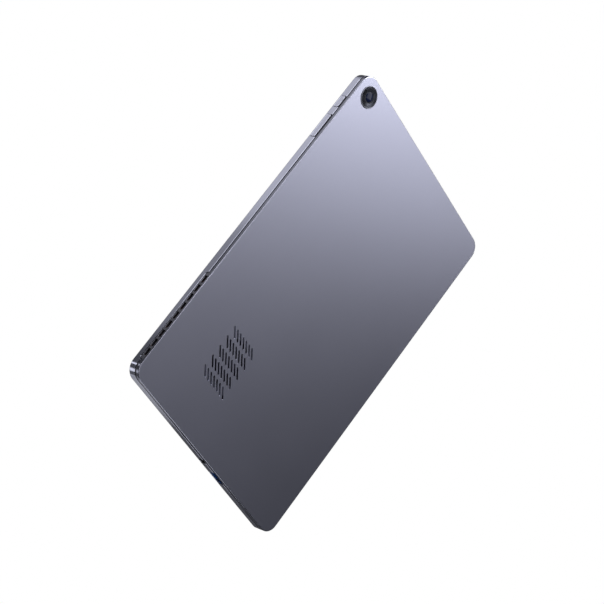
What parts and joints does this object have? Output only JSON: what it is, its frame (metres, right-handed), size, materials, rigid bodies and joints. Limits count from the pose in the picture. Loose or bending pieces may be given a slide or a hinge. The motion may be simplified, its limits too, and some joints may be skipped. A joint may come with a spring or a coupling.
{
  "type": "tablet computer",
  "caption": "Thin metal tablet computer lying on its display, with a fan behind slanted rear slots, side vents, side keys, a corner camera and edge sockets.",
  "frame": {"origin": "centre of the display glass outer face, on the surface that the tablet lies on", "axes": "+Z out of the rear cover, +X towards the short side with the data and headphone sockets, +Y towards the long side without the keys and vents"},
  "size_m": [0.258, 0.1758, 0.0097],
  "materials": {
    "cover_metal": "bead-blasted anodised, fine grain",
    "frame_metal": "anodised, satin, polished on the side bands",
    "key_metal": "anodised, satin",
    "seam_plastic": "moulded, dark violet grey",
    "vent_plastic": "moulded, dark grey",
    "display_glass": "strengthened glass, black printed border",
    "adhesive": "foam tape",
    "panel": "polarising film",
    "sheet_metal": "plated sheet",
    "light_guide": "clear acrylic with white film",
    "flex": "polyimide film",
    "white_plastic": "moulded",
    "black_plastic": "moulded, fine grain",
    "ring_metal": "turned and anodised, bright edge",
    "camera_glass": "coated glass",
    "lens_glass": "coated lens",
    "fan_plastic": "glass-filled moulding",
    "magnet": "bonded ferrite",
    "steel": "ground",
    "bronze": "sintered",
    "copper": "bare, oxide tinted",
    "pad": "silicone pad",
    "board": "solder mask",
    "card": "solder mask, blue",
    "chip": "moulded package",
    "battery_foil": "black film over pouch foil",
    "blue_plastic": "moulded",
    "gold": "plated",
    "mesh": "woven mesh"
  },
  "bodies": {
    "chassis": {"rear_cover": "cover_metal", "mid_frame": "frame_metal", "seam_band": "seam_plastic", "vent_insert": "vent_plastic", "cover_glass": "display_glass", "glass_adhesive": "adhesive", "display_panel": "panel", "backlight_tray": "sheet_metal", "light_guide": "light_guide", "display_flex": "flex", "key_switches": "white_plastic", "key_flex": "flex", "key_bracket": "sheet_metal", "camera_ring": "ring_metal", "camera_window": "camera_glass", "rear_camera": "black_plastic", "rear_camera_lens": "lens_glass", "rear_camera_flex": "flex", "front_camera": "black_plastic", "front_camera_flex": "flex", "fan_housing": "fan_plastic", "fan_lid": "sheet_metal", "fan_bearing": "bronze", "fan_stator": "copper", "fan_lead": "flex", "heatsink_fins": "copper", "heat_pipe": "copper", "cold_plate": "copper", "thermal_pad": "pad", "cold_plate_screws": "steel", "main_board": "board", "processor": "chip", "memory_chips": "chip", "storage_card": "card", "card_socket": "black_plastic", "radio_module": "sheet_metal", "power_inductors": "magnet", "shield_can": "sheet_metal", "board_plugs": "white_plastic", "frame_screws": "steel", "battery_cells": "battery_foil", "pack_board": "board", "battery_lead": "black_plastic", "socket_board": "board", "socket_flex": "flex", "data_shell": "steel", "data_tongue": "blue_plastic", "audio_jack": "black_plastic", "charge_shell": "steel", "charge_tongue": "black_plastic", "speaker_boxes": "black_plastic", "speaker_cones": "pad", "speaker_meshes": "mesh", "antennas": "gold", "antenna_leads": "black_plastic"},
    "power_key": {"power_key": "key_metal"},
    "volume_key": {"volume_key": "key_metal"},
    "fan_rotor": {"fan_impeller": "fan_plastic", "fan_magnet": "magnet", "fan_shaft": "steel"}
  },
  "joints": [
    {"name": "power_press", "type": "slide", "parent": "chassis", "child": "power_key", "axis": [0, 1, 0], "range_m": [0, 0.0003], "stiffness_N_per_m": 4000},
    {"name": "volume_rock", "type": "hinge", "parent": "chassis", "child": "volume_key", "pos_m": [-0.07875, -0.08555, 0.0035], "axis": [0, 0, 1], "range_deg": [-1.2, 1.2], "stiffness_Nm_per_rad": 0.4},
    {"name": "fan_spin", "type": "hinge", "parent": "chassis", "child": "fan_rotor", "pos_m": [0.07535, -0.0321, 0.00515], "axis": [0, 0, 1], "continuous": true}
  ]
}
